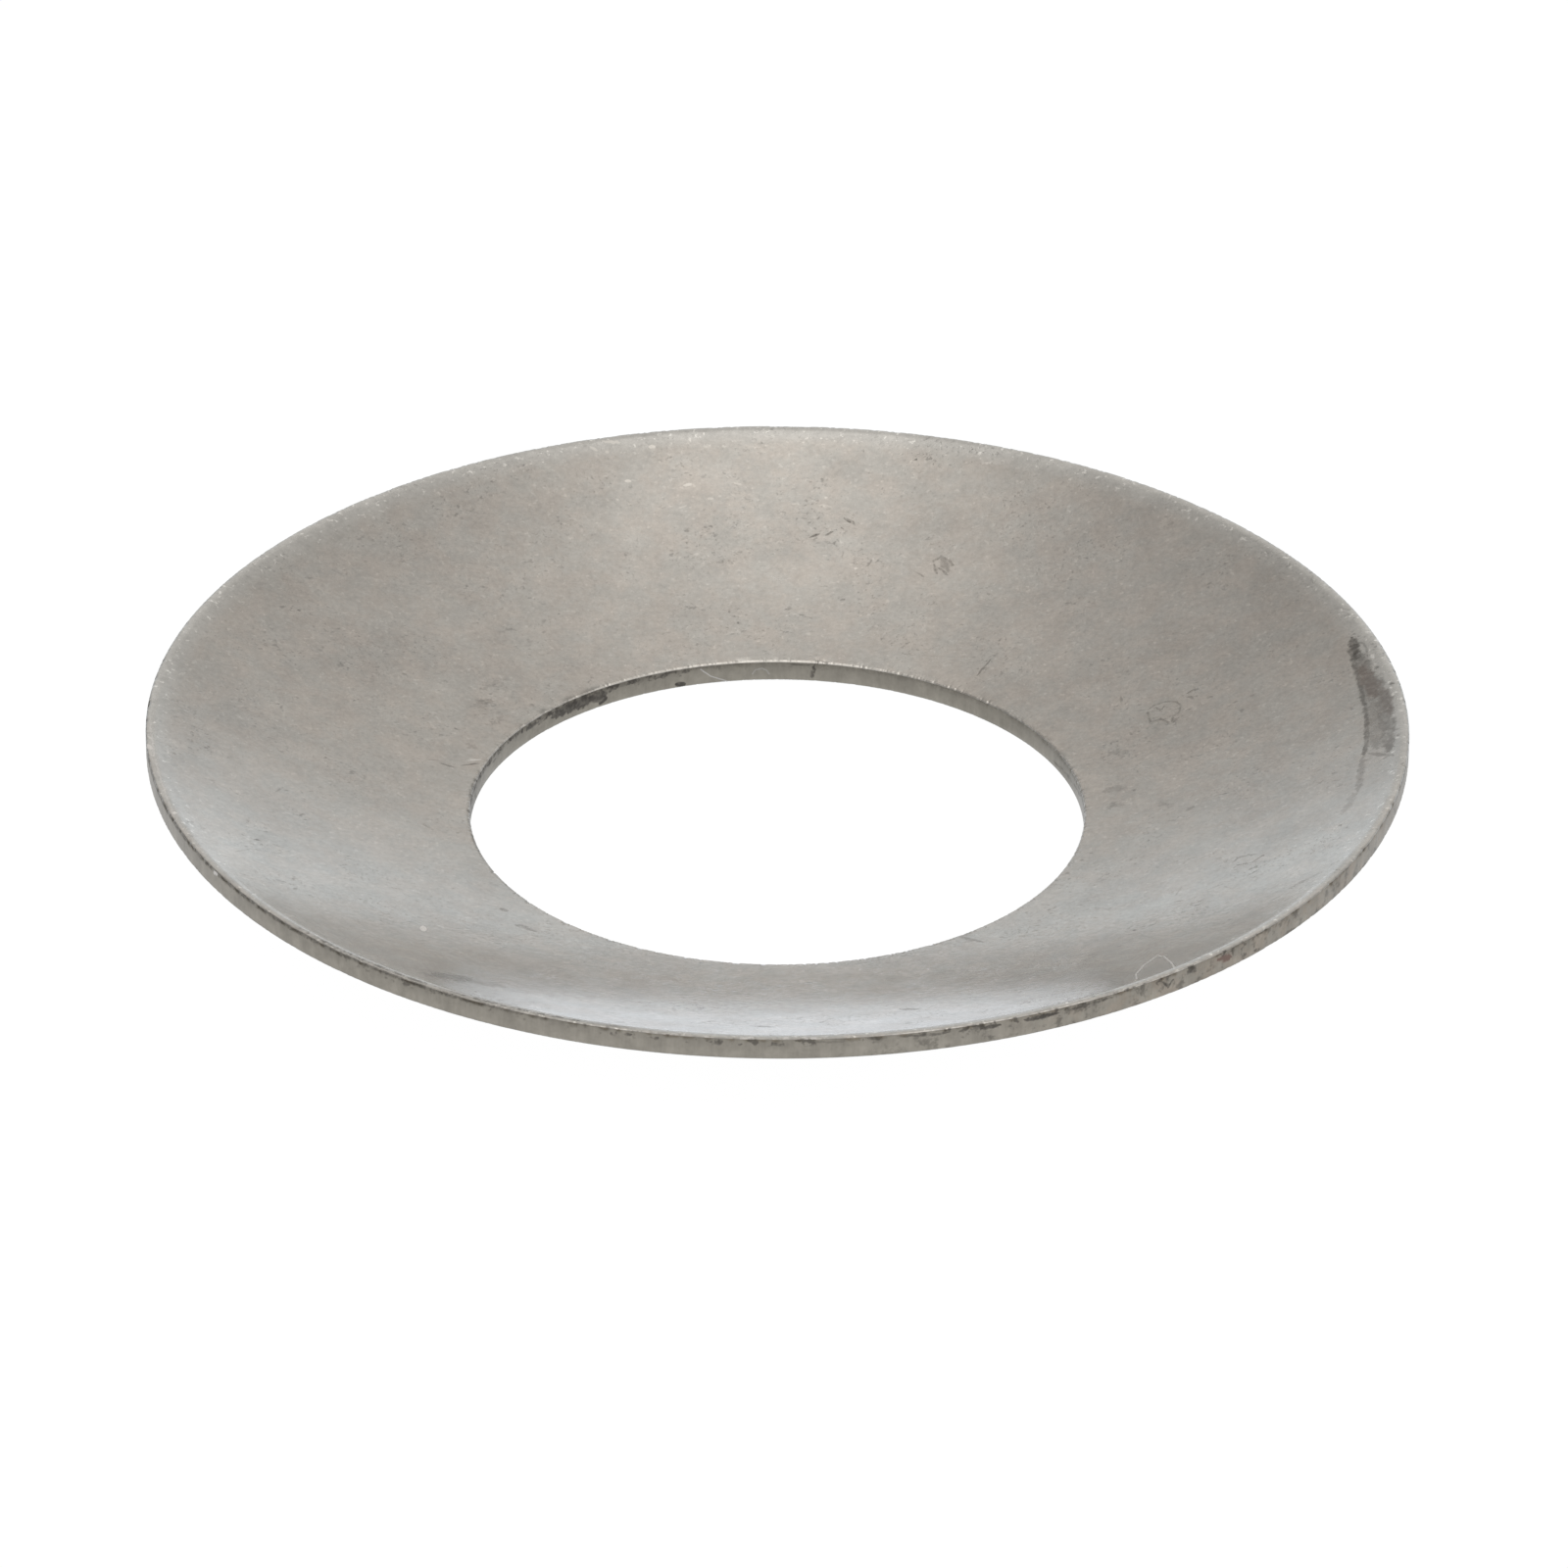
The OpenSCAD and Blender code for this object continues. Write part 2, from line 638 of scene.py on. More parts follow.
        roll, corner = self.roll_centre, self.corner_centre
        bore_top = self.edge_centre(self.bore_r, 1, self.dish_r, 1, self.bore_edge_r)
        rim_foot = self.edge_centre(self.rim_r, -1, self.dome_r, -1, self.dome_edge_r)
        bore_foot = self.edge_centre(self.bore_r, 1, self.dome_r, -1, self.dome_edge_r)
        rise_bore = self.bore_edge_r * math.sin(blend)
        rise_corner = self.rim_corner_r * math.sin(blend)
        rise_foot = self.dome_edge_r * math.sin(blend)
        bowl_in = tilt(bore_top) + rise_bore / self.dish_r
        bowl_out = tilt(roll) + self.rim_roll_r * math.sin(self.roll_blend) / self.dish_r
        roll_start = tilt(roll) + half_turn - self.roll_blend
        roll_end = half_turn / 2 - rise_corner / self.rim_roll_r
        dome_out = tilt(rim_foot) - rise_foot / self.dome_r
        dome_in = tilt(bore_foot) + rise_foot / self.dome_r
        arc(Zone.BOWL, origin, self.dish_r, bowl_in, bowl_out, self.bowl_steps, -1)
        arc(Zone.ROLL, roll, self.rim_roll_r, roll_start, roll_end, self.roll_steps, 1)
        foot_start, foot_end = tilt(bore_foot) - blend, blend - half_turn
        top_start, top_end = half_turn - blend, tilt(bore_top) + half_turn - blend
        arc(Zone.RIM_CORNER, corner, self.rim_corner_r, half_turn / 2 - blend, blend, edge_steps, 1)
        wall(Zone.RIM_WALL, self.rim_r, corner[1] + rise_corner, rim_foot[1] - rise_foot, 1)
        arc(Zone.RIM_FOOT, rim_foot, self.dome_edge_r, -blend, tilt(rim_foot) + blend, foot_steps, 1)
        arc(Zone.DOME, origin, self.dome_r, dome_out, dome_in, self.dome_steps, 1)
        arc(Zone.BORE_FOOT, bore_foot, self.dome_edge_r, foot_start, foot_end, foot_steps, 1)
        wall(Zone.BORE_WALL, self.bore_r, bore_foot[1] - rise_foot, bore_top[1] + rise_bore, -1)
        arc(Zone.BORE_TOP, bore_top, self.bore_edge_r, top_start, top_end, edge_steps, 1)
        path = np.concatenate(points) + np.array([0.0, self.dish_centre_z])
        out = np.concatenate(normals)
        return Section(path[:, 0], path[:, 1], out[:, 0], out[:, 1], np.concatenate(zones))

    def build(self) -> bpy.types.Object:
        """Turns the section about the axis and sinks its edges by their wear.

        A point is (radius cos angle, radius sin angle, height) for each angle step and each section step,
        where radius and height are the section's, less the depth of the wear along the section's normal.

        Returns:
            The washer, closed and smooth, at the origin. Its attribute tells walls and edges from faces:
            the share of the normal that points away from the middle of the sheet.
        """
        section = self.section()
        angle = np.linspace(0.0, 2 * math.pi, self.steps_round, endpoint=False)
        depth = np.zeros((self.steps_round, len(section.radius)))
        for wear in self.wear:
            depth += wear.depths(angle)[:, None] * section.share(*wear.zones)[None, :]
        radius = section.radius - depth * section.normal_radius
        height = section.height - depth * section.normal_height
        grid = np.stack([radius * np.cos(angle)[:, None], radius * np.sin(angle)[:, None], height], -1)
        made = grid_mesh(NODE_NAME + "_steel", grid)
        side = np.where(section.radius > (self.rim_r + self.bore_r) / 2, 1.0, -1.0)
        outward = np.broadcast_to((side * section.normal_radius)[None, :], depth.shape)
        layer = made.data.attributes.new(OUTWARD, "FLOAT", "POINT")
        layer.data.foreach_set("value", outward.reshape(-1).astype(np.float32))
        return made

    def find(self, camera: PhotoCamera, pixel: Pixel, zone: Zone) -> np.ndarray:
        """Point of the washer under a pixel, in millimetres.

        It lies on the hollow face, the front of the rim, the back of the bore or the rim's upper edge.
        On that edge it is where the line of sight comes down to the top of the rim's wall.

        Args:
            camera: The picture's camera.
            pixel: Place in the picture.
            zone: The face or wall that the picture shows there.

        Returns:
            The point.
        """
        if zone is Zone.RIM_CORNER:
            stand, ahead = camera.sight(pixel)
            found = stand + ahead * ((self.rim_wall_top - stand[2]) / ahead[2])
        elif zone is Zone.RIM_WALL:
            found = camera.hit(pixel, 0.0, self.rim_r, flat=True, far=False)
        elif zone is Zone.BORE_WALL:
            found = camera.hit(pixel, 0.0, self.bore_r, flat=True, far=True)
        else:
            found = camera.hit(pixel, self.dish_centre_z, self.dish_r, flat=False, far=True)
        return found / MM


def grid_mesh(name: str, grid: np.ndarray) -> bpy.types.Object:
    """Makes a mesh of a grid of points that closes on itself both ways.

    Args:
        name: Name of the object.
        grid: Points by first step, second step and coordinate; the second step runs clockwise
            round the section as the first runs counter-clockwise round the axis.

    Returns:
        The object, linked to the scene.
    """
    rows, columns = grid.shape[:2]
    index = np.arange(rows * columns).reshape(rows, columns)
    ahead = np.roll(index, -1, axis=0)
    beside, across = np.roll(index, -1, axis=1), np.roll(ahead, -1, axis=1)
    quads = np.stack([index, beside, across, ahead], -1).reshape(-1, 4)
    mesh = bpy.data.meshes.new(name)
    mesh.vertices.add(rows * columns)
    mesh.vertices.foreach_set("co", grid.reshape(-1).astype(np.float32))
    mesh.loops.add(quads.size)
    mesh.loops.foreach_set("vertex_index", quads.reshape(-1).astype(np.int32))
    mesh.polygons.add(len(quads))
    mesh.polygons.foreach_set("loop_start", np.arange(0, quads.size, 4, dtype=np.int32))
    mesh.polygons.foreach_set("use_smooth", np.ones(len(quads), dtype=bool))
    mesh.update(calc_edges=True)
    mesh.validate()
    made = bpy.data.objects.new(name, mesh)
    bpy.context.collection.objects.link(made)
    return made


@dataclass(frozen=True)
class SteelPoint:
    """What the finish knows of a point on the steel, as signals.

    Lengths are in millimetres and turns in degrees. A frayed place wanders off by the length that is its key.
    """

    sheet: NodeSheet
    place: Signal
    frayed: Mapping[float, Signal]
    behind: Signal
    rolled: Signal
    height: Signal
    turn: Signal
    from_axis: Signal
    from_dish: Signal
    at_rim: Signal
    wall: Signal
    lip: Signal

    def within(self, sector: Sector, top: float = 1.0) -> Signal:
        """Strength of a sector, up to a top.

        It is the product of the steps at the sector's two ends, or the larger of them where it runs
        over the half turn.

        Args:
            sector: The stretch round the axis.
            top: Height of the last step.

        Returns:
            The strength.
        """
        first, last = sector.value
        start, end = self.turn.ramp(*first), self.turn.ramp(*last, top)
        return start * end if first[0] < last[0] else start.at_least(end)


@dataclass(frozen=True)
class Stroke:
    """A mark drawn from pixel to pixel of the picture; one pixel alone makes a dot.

    The width is in millimetres, the core is the share of it at full strength, and the fray is the share
    by which its edges wander.
    """

    path: tuple[Pixel, ...]
    width: float
    strength: float
    tone: Tone = Tone.DARK
    zone: Zone = Zone.BOWL
    core: float = 0.3
    fray: float = 0.9

    def mask(self, point: SteelPoint, washer: PressedWasher, camera: PhotoCamera) -> Signal:
        """Strength of the mark: full in its core, fading to 0 half a width away from its path.

        A dot is measured by the distance to it, and a path of several lines by the distance to the nearest.
        A single line is an ellipse as long and wide as the mark, measured by the sum of the distances to
        its two focal points: they lie off its middle by the root of the difference of its squared half axes.

        Args:
            point: The point on the steel.
            washer: The washer, on which the pixels are found.
            camera: The picture's camera.

        Returns:
            The mask.
        """
        sheet = point.sheet
        found = [washer.find(camera, pixel, self.zone) for pixel in self.path]
        frayed = point.frayed[min(point.frayed, key=lambda step: abs(step - self.fray * self.width))]
        edge, full = self.width / 2, self.width / 2 * self.core
        if len(found) == 1:
            gap = sheet.gap(frayed, tuple(found[0]))
        elif len(found) == 2:
            middle, run = (found[0] + found[1]) / 2, found[1] - found[0]
            reach = np.linalg.norm(run) / 2 + edge
            focus = math.sqrt(reach**2 - edge**2)
            out = run / np.linalg.norm(run) * focus
            gap = sheet.gap(frayed, tuple(middle - out)) + sheet.gap(frayed, tuple(middle + out))
            edge, full = 2 * reach, 2 * math.hypot(focus, full)
        else:
            gap, *more = [sheet.line_gap(frayed, start, end) for start, end in zip(found, found[1:])]
            for other in more:
                gap = gap.at_most(other)
        return gap.ramp(edge, full, self.strength)


def alike(*drawn: Stroke, tone: Tone = Tone.DARK, zone: Zone = Zone.BOWL) -> tuple[Stroke, ...]:
    """Gives strokes the tone and the zone that they share."""
    return tuple(replace(stroke, tone=tone, zone=zone) for stroke in drawn)


# Pits and a ring of dirt on the back of the hollow face, and two scratches behind the bore
BACK_PITS = (
    Stroke(((953, 572), (960, 568), (968, 572), (972, 577)), 0.17, 0.45, fray=1.3),
    Stroke(((953, 576), (956, 585)), 0.17, 0.45, fray=1.3),
    Stroke(((958, 580), (966, 586)), 0.18, 0.45, fray=1.3),
    Stroke(((962, 573), (966, 580)), 0.40, 0.35),
    Stroke(((934, 583), (942, 588)), 0.09, 0.35),
    Stroke(((862, 529), (871, 534)), 0.18, 0.65),
    Stroke(((858, 537), (863, 543)), 0.09, 0.4),
    Stroke(((827, 548), (835, 545)), 0.15, 0.5),
    Stroke(((843, 546), (849, 543)), 0.14, 0.5),
    Stroke(((816, 627), (828, 631)), 0.14, 0.35),
    Stroke(((1011, 673), (997, 689)), 0.12, 0.5),
    Stroke(((925, 668), (1000, 671)), 0.10, 0.16),
)

# Scratches and smudges left of the bore, and further to the front
LEFT_SCRATCHES = (
    Stroke(((450, 779), (463, 783)), 0.14, 0.45),
    Stroke(((425, 774), (450, 776)), 0.09, 0.25),
    Stroke(((472, 781), (488, 779)), 0.11, 0.55),
    Stroke(((480, 760), (487, 765)), 0.42, 0.22, fray=1.8),
    Stroke(((487, 720), (499, 716)), 0.46, 0.22, fray=1.8),
    Stroke(((496, 700), (509, 697)), 0.42, 0.2, fray=1.8),
    Stroke(((502, 738), (511, 733)), 0.44, 0.2, fray=1.8),
    Stroke(((433, 842), (441, 846)), 0.18, 0.25),
    Stroke(((512, 928), (516, 929)), 0.3, 0.35),
    Stroke(((531, 945), (543, 949)), 0.4, 0.3, fray=1.6),
    Stroke(((452, 996), (468, 998)), 1.5, 0.5, core=0.2),
    Stroke(((482, 1002), (505, 1005)), 0.9, 0.26, core=0.1),
    Stroke(((240, 869), (256, 866), (270, 868), (283, 871), (296, 868)), 0.10, 0.2),
    Stroke(((282, 808), (288, 804)), 0.12, 0.3),
    Stroke(((178, 769),), 0.16, 0.4),
    Stroke(((398, 906), (408, 907)), 0.11, 0.35),
)

# An open ring of scratches right of the bore, with specks and smudges about it
RIGHT_SCRATCHES = (
    Stroke(((1177, 720), (1189, 716), (1200, 716), (1205, 720)), 0.13, 0.36),
    Stroke(((1205, 720), (1203, 727), (1197, 731), (1196, 736)), 0.12, 0.42),
    Stroke(((1192, 737), (1183, 734), (1174, 737), (1171, 727)), 0.16, 0.42),
    Stroke(((1172, 724), (1177, 720)), 0.12, 0.25),
    Stroke(((1180, 722), (1184, 725), (1188, 721)), 0.12, 0.36),
    Stroke(((1212, 707), (1219, 703)), 0.12, 0.45),
    Stroke(((1211, 711), (1216, 711)), 0.12, 0.45),
    Stroke(((1255, 720), (1262, 716)), 0.16, 0.28),
    Stroke(((1267, 725),), 0.26, 0.32),
    Stroke(((1276, 711), (1281, 708)), 0.14, 0.28),
    Stroke(((1144, 711), (1145, 717)), 0.14, 0.35),
    Stroke(((1134, 767), (1149, 770)), 0.5, 0.22, fray=1.8),
    Stroke(((1131, 806), (1146, 804)), 0.5, 0.24, fray=1.8),
    Stroke(((1158, 806),), 0.24, 0.34),
    Stroke(((1133, 823), (1140, 821)), 0.42, 0.28, fray=1.8),
    Stroke(((1186, 819), (1192, 822)), 0.44, 0.22, fray=1.8),
    Stroke(((1212, 827), (1217, 824)), 0.24, 0.3),
)

# Scratches and specks from the front right to the front, and three at the far right
FRONT_SPECKS = (
    Stroke(((1258, 880), (1265, 874), (1280, 872)), 0.13, 0.36),
    Stroke(((1262, 883), (1278, 880), (1288, 873)), 0.13, 0.36),
    Stroke(((1289, 873),), 0.18, 0.5),
    Stroke(((1200, 913), (1206, 905)), 0.11, 0.25),
    Stroke(((1200, 920), (1206, 919)), 0.14, 0.4),
    Stroke(((1223, 920), (1228, 918)), 0.14, 0.36),
    Stroke(((1232, 908), (1258, 898)), 0.10, 0.22),
    Stroke(((1318, 905), (1346, 891)), 0.30, 0.2),
    Stroke(((981, 956), (1000, 961)), 0.34, 0.3),
    Stroke(((921, 1030), (934, 1030)), 0.4, 0.45),
    Stroke(((770, 1047), (787, 1048)), 0.34, 0.4),
    Stroke(((1418, 824),), 0.24, 0.5),
    Stroke(((1405, 844), (1411, 842)), 0.22, 0.45),
    Stroke(((1365, 887), (1370, 885)), 0.18, 0.45),
)

# Lint on the hollow face, a pale line inside the left of the rim that is a painted highlight, and specks
# inside its right
FACE_LINT_AND_HIGHLIGHT = alike(
    Stroke(((787, 588), (796, 592), (806, 590)), 0.09, 0.4),
    Stroke(((478, 776), (490, 775)), 0.11, 0.7, fray=0.4),
    Stroke(((432, 946), (432, 949)), 0.26, 1.0, fray=0.1, core=0.8),
    Stroke(
        ((1160, 999), (1159, 994), (1167, 985), (1181, 975), (1188, 976), (1195, 982), (1199, 988)),
        0.09, 0.6, fray=0.2,
    ),
    # Painted highlight on the roll inside the left of the rim
    Stroke(((153, 734), (155, 752), (158, 772), (163, 792), (170, 812), (177, 829)), 0.12, 0.45, fray=1.2),
    Stroke(((1429, 791),), 0.14, 0.7),
    Stroke(((1419, 815),), 0.16, 0.7),
    Stroke(((1401, 844),), 0.18, 0.8),
    tone=Tone.PALE,
)

# Bright flecks on the back of the hollow face
BACK_FLECKS = alike(
    Stroke(((617, 450), (631, 452)), 0.2, 0.45, fray=1.5),
    Stroke(((640, 491), (643, 491)), 0.2, 0.75),
    Stroke(((699, 495), (703, 494)), 0.2, 0.7),
    Stroke(((664, 456), (667, 456)), 0.22, 0.65),
    Stroke(((694, 518), (700, 516)), 0.16, 0.35, fray=1.5),
    Stroke(((724, 509), (727, 509)), 0.18, 0.4),
    Stroke(((750, 493), (755, 494)), 0.18, 0.4, fray=1.5),
    Stroke(((810, 514), (814, 514)), 0.16, 0.35, fray=1.5),
    Stroke(((843, 508),), 0.18, 0.6),
    Stroke(((836, 516), (848, 516)), 0.16, 0.25, fray=1.8),
    Stroke(((604, 457), (607, 459)), 0.22, 0.45),
    Stroke(((620, 461),), 0.22, 0.5),
    Stroke(((630, 510),), 0.18, 0.45),
    Stroke(((873, 580),), 0.2, 0.6),
    tone=Tone.BRIGHT,
)

# Dark stain at the far right, from its upper end to its lower one
STAIN = (
    Stroke(((1381, 652), (1384, 670)), 0.5, 0.8, core=0.4),
    Stroke(((1386, 655), (1392, 657), (1395, 664), (1395, 673)), 0.14, 0.3),
    Stroke(((1386, 671), (1395, 690)), 0.8, 0.5, core=0.4, fray=0.6),
    Stroke(((1396, 690), (1405, 710)), 1.15, 0.5, core=0.45, fray=0.6),
    Stroke(((1410, 706), (1417, 760)), 0.98, 0.5, core=0.4, fray=0.6),
    Stroke(((1401, 714), (1404, 760)), 0.9, 0.36, core=0.4, fray=0.6),
    Stroke(
        ((1378, 664), (1383, 680), (1388, 700), (1392, 716), (1395, 738), (1395, 756), (1392, 769)),
        0.32, 0.62, fray=1.2,
    ),
    Stroke(((1398, 769), (1420, 771)), 0.26, 0.35),
    Stroke(((1421, 697),), 0.3, 0.6),
    Stroke(((1405, 681),), 0.26, 0.5),
    Stroke(((1427, 750),), 0.3, 0.55),
    Stroke(((1391, 772), (1386, 806)), 0.42, 0.3, fray=1.4),
    Stroke(((1384, 808), (1371, 829)), 0.4, 0.2, fray=1.4),
)

# Rust in the stain
STAIN_RUST = alike(
    Stroke(((1391, 684), (1403, 708)), 0.8, 0.3, core=0.4),
    Stroke(((1412, 705), (1418, 726)), 0.6, 0.22, core=0.4),
    tone=Tone.RUST,
)

# Dirt on the front of the rim, mostly under its upper edge
RIM_DIRT = alike(
    Stroke(((638, 1056), (643, 1056)), 0.16, 0.7),
    Stroke(((583, 1047), (588, 1048)), 0.12, 0.4),
    Stroke(((817, 1063), (860, 1063)), 0.12, 0.3),
    Stroke(((887, 1060), (896, 1060)), 0.18, 0.6),
    Stroke(((917, 1058), (967, 1054)), 0.16, 0.55),
    Stroke(((980, 1052), (986, 1051)), 0.16, 0.6),
    Stroke(((1003, 1049), (1020, 1046)), 0.20, 0.8),
    Stroke(((1047, 1041), (1079, 1034)), 0.22, 0.85),
    Stroke(((1087, 1031), (1135, 1018)), 0.16, 0.6),
    Stroke(((1187, 1002), (1192, 1007), (1197, 1000)), 0.13, 0.7),
    Stroke(((1281, 970), (1284, 969)), 0.18, 0.6),
    Stroke(((1310, 954), (1321, 947)), 0.16, 0.5),
    zone=Zone.RIM_WALL,
)

# A rust spot at the right of the rim
RIM_RUST = alike(
    Stroke(((1245, 979), (1254, 977)), 0.34, 0.8),
    tone=Tone.RUST,
    zone=Zone.RIM_WALL,
)

# Pale specks on the rim's upper edge
RIM_EDGE_LINT = alike(
    Stroke(((667, 1054), (671, 1054)), 0.16, 0.6),
    Stroke(((686, 1056), (692, 1056)), 0.16, 0.6),
    Stroke(((720, 1058), (724, 1058)), 0.16, 0.6),
    Stroke(((758, 1060), (767, 1060)), 0.24, 0.9),
    Stroke(((801, 1060), (805, 1060)), 0.24, 0.9),
    Stroke(((819, 1060), (822, 1060)), 0.2, 0.8),
    Stroke(((829, 1060), (832, 1060)), 0.2, 0.8),
    Stroke(((151, 762), (153, 764)), 0.34, 1.0, fray=0.3),
    tone=Tone.PALE,
    zone=Zone.RIM_CORNER,
)

# A pale speck at the left of the rim
RIM_LINT = alike(
    Stroke(((219, 891), (221, 891)), 0.22, 1.0),
    tone=Tone.PALE,
    zone=Zone.RIM_WALL,
)

# Torn metal and dirt at the back of the bore
BORE_DIRT = alike(
    Stroke(((503, 778), (570, 729)), 0.22, 0.65),
    Stroke(((566, 730), (616, 708)), 0.55, 0.85, core=0.6),
    Stroke(((592, 716), (612, 714)), 0.40, 0.7),
    Stroke(((614, 704), (618, 712), (613, 717)), 0.22, 0.95, core=0.5),
    Stroke(((570, 726), (604, 711)), 0.26, 0.95, core=0.5),
    Stroke(((538, 744), (548, 738)), 0.22, 0.7),
    Stroke(((1076, 778), (1102, 812)), 0.3, 0.4),
    Stroke(((692, 698), (697, 698)), 0.24, 0.9, fray=0.4, core=0.5),
    Stroke(((618, 706), (640, 698)), 0.16, 0.6),
    Stroke(((831, 680), (828, 692)), 0.17, 0.8, fray=1.5),
    Stroke(((806, 678), (826, 679)), 0.12, 0.5),
    zone=Zone.BORE_WALL,
)

# Two hairs in the bore
BORE_LINT = alike(
    Stroke(((715, 683), (725, 690), (742, 695)), 0.07, 0.4),
    Stroke(((768, 688), (771, 684), (777, 682), (782, 684), (785, 688)), 0.08, 0.15),
    tone=Tone.PALE,
    zone=Zone.BORE_WALL,
)

FACE_MARKS = BACK_PITS + LEFT_SCRATCHES + RIGHT_SCRATCHES + FRONT_SPECKS + FACE_LINT_AND_HIGHLIGHT + BACK_FLECKS
STAIN_MARKS = STAIN + STAIN_RUST
RIM_MARKS = RIM_DIRT + RIM_RUST + RIM_EDGE_LINT + RIM_LINT
BORE_MARKS = BORE_DIRT + BORE_LINT


@dataclass(frozen=True)
class FaceFinish:
    """The two faces: clouds, grain, fine scratches, dark pits in loose swarms, and pale flecks by the rim.

    A lift is the least share of something and what it gains. Bands are millimetres from the rim,
    and depths are millimetres into the sheet from the hollow face.
    """

    cool: Colour = (0.577, 0.570, 0.547)
    warm: Colour = (0.602, 0.574, 0.540)
    worn: Colour = (0.645, 0.645, 0.628)
    warm_clouds: Patches = Patches(Grain(0.8, 3.0, 0.7), 0.34, 0.66)
    cloud: Grain = Grain(0.32, 4.0, 0.65, sway=0.36)
    mottle: Grain = Grain(1.0, 2.0, 0.6, sway=0.2)
    grain: Grain = Grain(5.0, 3.0, 0.8, sway=0.5)
    worn_band: Span = (-1.1, -0.35)
    worn_depth: Span = (0.6, 0.4)
    worn_lift: Span = (0.35, 0.65)
    flecks: Patches = Patches(Grain(4.6, 2.0, 0.6), 0.59, 0.74)
    fleck_lift: Span = (0.42, 0.9)
    fleck_gain: float = 0.42
    swarms: Patches = Patches(Grain(0.5, 3.0, 0.65), 0.44, 0.64)
    swarm_lift: Span = (0.12, 0.88)
    coarse_pits: Patches = Patches(Grain(2.9, 2.0, 0.6), 0.6, 0.74)
    coarse_lay: Lay = Lay((0.0, 0.0, 0.0), 32.0, (1.0, 0.75, 1.0))
    fine_pits: Patches = Patches(Grain(7.0, 2.0, 0.6), 0.57, 0.72)
    fine_share: float = 0.8
    pit_loss: float = 0.32
    scratch: Grain = Grain(1.0, 1.0, 0.5)
    scratch_lays: tuple[Lay, Lay] = (
        Lay((3.0, 0.0, 0.0), 6.0, (2.2, 0.12, 2.2)),
        Lay((11.0, 0.0, 0.0), 58.0, (1.6, 0.12, 1.6)),
    )
    scratch_crests: Span = (0.7, 0.84)
    scratch_loss: float = 0.05

    def pits(self, point: SteelPoint) -> Signal:
        """Sunk dark specks, coarse and fine, in loose swarms.

        Args:
            point: The point on the steel.

        Returns:
            The strength of the specks.
        """
        sheet, place = point.sheet, point.place
        swarm = sheet.patches(place, self.swarms)
        coarse = sheet.patches(sheet.laid(place, self.coarse_lay), self.coarse_pits)
        fine = sheet.patches(place, self.fine_pits) * self.fine_share
        return (coarse + fine) * swarm.lift(*self.swarm_lift)

    def scratches(self, point: SteelPoint) -> Signal:
        """Fine scratches in two directions: the crests of noise that is stretched along each."""
        laid = [point.sheet.laid(point.place, lay) for lay in self.scratch_lays]
        flat, steep = (point.sheet.noise(where, self.scratch) for where in laid)
        return flat.at_least(steep).ramp(*self.scratch_crests)

    def colour(self, point: SteelPoint, washer: PressedWasher, pits: Signal) -> Signal:
        """Colour of the faces.

        Args:
            point: The point on the steel.
            washer: The washer.
            pits: Strength of the pits.

        Returns:
            The colour.
        """
        sheet, place = point.sheet, point.place
        tone = 1 + sheet.swayed(place, self.cloud) + sheet.swayed(place, self.mottle)
        tone = tone + sheet.swayed(place, self.grain) - pits * self.pit_loss
        by_rim = point.from_axis.ramp(*off(washer.rim_r / MM, self.worn_band))
        by_rim = by_rim * point.from_dish.ramp(*off(washer.dish_r / MM, self.worn_depth))
        flecks = sheet.patches(place, self.flecks) * by_rim.lift(*self.fleck_lift)
        tint = sheet.blend(sheet.patches(place, self.warm_clouds), self.cool, self.warm)
        tint = sheet.blend(by_rim * point.behind.lift(*self.worn_lift), tint, self.worn)
        tone = tone + flecks * self.fleck_gain - self.scratches(point) * self.scratch_loss
        return sheet.scaled(tint, tone)


@dataclass(frozen=True)
class WallFinish:
    """The cut walls: brown-grey, blotched, finely streaked along the cut, darker towards the hollow face."""

    cut: Colour = (0.318, 0.287, 0.240)
    pierced: Colour = (0.285, 0.258, 0.214)
    tarnish: Colour = (0.345, 0.285, 0.225)
    along_cut: Point = (1.0, 1.0, 0.15)
    streak: Grain = Grain(4.0, 3.0, 0.75, sway=0.4)
    blotch: Grain = Grain(1.2, 3.0, 0.75, sway=0.7)
    tone_lift: Span = (0.9, 0.16)
    dirt: Patches = Patches(Grain(1.9, 3.0, 0.75), 0.5, 0.66)
    dirt_loss: float = 0.4
    warm_patches: Patches = Patches(Grain(1.4, 3.0, 0.7), 0.4, 0.62)
    warm_top: float = 0.5

    def colour(self, point: SteelPoint, washer: PressedWasher) -> Signal:
        """Colour of the walls, with dirt and tarnish at the front right of the rim.

        Args:
            point: The point on the steel.
            washer: The washer.

        Returns:
            The colour.
        """
        sheet, place = point.sheet, point.place
        across = point.from_dish.ramp(washer.dish_r / MM, washer.dome_r / MM)
        tone = across.lift(*self.tone_lift) + sheet.swayed(place, self.blotch)
        tone = tone + sheet.swayed(sheet.vector("MULTIPLY", place, self.along_cut), self.streak)
        dirt = sheet.patches(place, self.dirt) * point.within(Sector.DIRTY_WALL)
        warm = sheet.patches(place, self.warm_patches) * point.within(Sector.TARNISHED_WALL, self.warm_top)
        bare = sheet.blend(point.at_rim, self.pierced, self.cut)
        return sheet.scaled(sheet.blend(warm, bare, self.tarnish), tone - dirt * self.dirt_loss)


